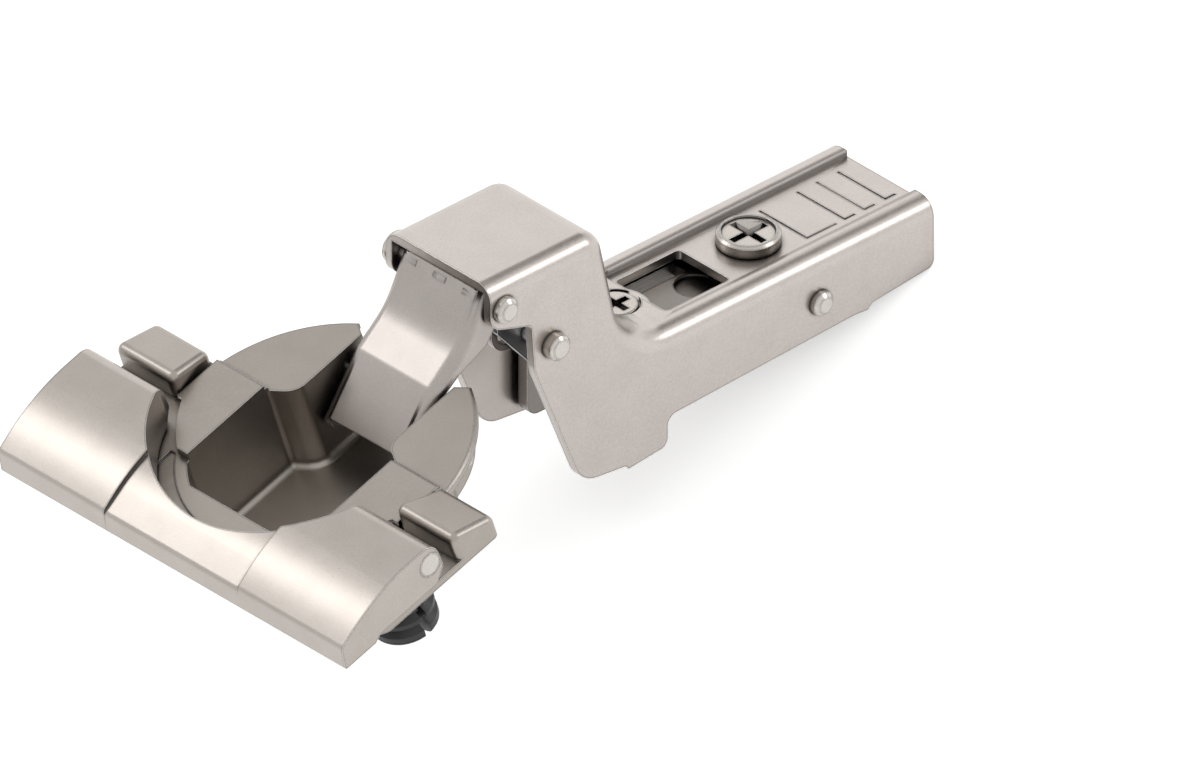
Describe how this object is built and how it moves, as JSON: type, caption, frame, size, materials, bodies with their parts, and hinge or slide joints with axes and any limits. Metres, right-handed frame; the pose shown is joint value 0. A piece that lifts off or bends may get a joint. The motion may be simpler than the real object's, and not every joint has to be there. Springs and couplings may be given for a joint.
{
  "type": "concealed cup hinge",
  "caption": "Concealed cup hinge for a cabinet door: die-cast cup with flip-up lid and nylon dowels, cranked links and a folded arm with adjusters.",
  "frame": {"origin": "on the cup's axis, in the plane of the flange's underside, which lies on the door's surface", "axes": "+X from the cup towards the arm, +Y along the hinge pins, +Z out of the door; the hinge is fully open"},
  "size_m": [0.1051, 0.0566, 0.0464],
  "materials": {
    "cast_plated": "nickel-plated zinc casting, satin",
    "link_plated": "nickel-plated folded steel, satin",
    "sheet_plated": "nickel-plated folded sheet, fine grain",
    "channel_plated": "nickel-plated pressed steel",
    "pin_steel": "turned steel, bright",
    "screw_steel": "plated screw head",
    "spring_steel": "bright spring steel with a bluish cast",
    "dowel_nylon": "black nylon"
  },
  "bodies": {
    "cup": {"cup": "cast_plated", "cup_axle": "pin_steel", "lid_pin_left": "pin_steel", "lid_pin_right": "pin_steel", "dowel_left": "dowel_nylon", "dowel_right": "dowel_nylon"},
    "lid": {"lid": "cast_plated"},
    "spreader_left": {"spreader_left": "pin_steel"},
    "spreader_right": {"spreader_right": "pin_steel"},
    "outer_link": {"outer_link": "link_plated"},
    "inner_link": {"inner_link": "link_plated"},
    "arm": {"arm": "sheet_plated", "outer_arm_pin": "pin_steel", "inner_arm_pin": "pin_steel", "rear_pin": "pin_steel", "closing_spring": "spring_steel"},
    "carrier": {"carrier": "channel_plated", "latch_pin": "pin_steel", "latch_spring": "spring_steel"},
    "depth_cam": {"depth_cam": "screw_steel"},
    "side_screw": {"side_screw": "screw_steel"},
    "latch_lever": {"latch_lever": "channel_plated"}
  },
  "joints": [
    {"name": "door_fold", "type": "hinge", "parent": "cup", "child": "outer_link", "pos_m": [0.011, 0, -0.0042], "axis": [0, -1, 0], "range_deg": [0, 126.98]},
    {"name": "arm_fold", "type": "hinge", "parent": "outer_link", "child": "arm", "pos_m": [0.0243, 0, 0.0066], "axis": [0, -1, 0], "range_deg": [-18.55, 0]},
    {"name": "inner_fold", "type": "hinge", "parent": "cup", "child": "inner_link", "pos_m": [0.014, 0, -0.002], "axis": [0, -1, 0], "range_deg": [0, 146.2]},
    {"name": "lid_flip", "type": "hinge", "parent": "cup", "child": "lid", "pos_m": [-0.0076, 0, 0.00445], "axis": [0, 1, 0], "range_deg": [0, 50]},
    {"name": "spreader_left_lift", "type": "slide", "parent": "cup", "child": "spreader_left", "axis": [0, 0, 1], "range_m": [0, 0.0015]},
    {"name": "spreader_right_lift", "type": "slide", "parent": "cup", "child": "spreader_right", "axis": [0, 0, 1], "range_m": [0, 0.0015]},
    {"name": "depth_cam_turn", "type": "hinge", "parent": "arm", "child": "depth_cam", "pos_m": [0.06292, 0, -0.02211], "axis": [0.3166, 0, 0.9486], "range_deg": [-56.4, 56.4]},
    {"name": "depth_slide", "type": "slide", "parent": "arm", "child": "carrier", "axis": [0.9486, 0, -0.3166], "range_m": [-0.002, 0.002]},
    {"name": "side_screw_turn", "type": "hinge", "parent": "arm", "child": "side_screw", "pos_m": [0.04357, 0, -0.01565], "axis": [0.3166, 0, 0.9486], "range_deg": [-720, 720]},
    {"name": "latch_release", "type": "hinge", "parent": "carrier", "child": "latch_lever", "pos_m": [0.07395, 0, -0.0317], "axis": [0, -1, 0], "range_deg": [0, 10], "stiffness_Nm_per_rad": 0.01}
  ],
  "couplings": [
    {"joint": "arm_fold", "follows": "door_fold", "ratio": -0.14587},
    {"joint": "inner_fold", "follows": "door_fold", "ratio": 1.1512},
    {"joint": "spreader_left_lift", "follows": "lid_flip", "m_per_rad": 0.0017171},
    {"joint": "spreader_right_lift", "follows": "lid_flip", "m_per_rad": 0.0017171},
    {"joint": "depth_cam_turn", "follows": "depth_slide", "rad_per_m": -491.69}
  ]
}
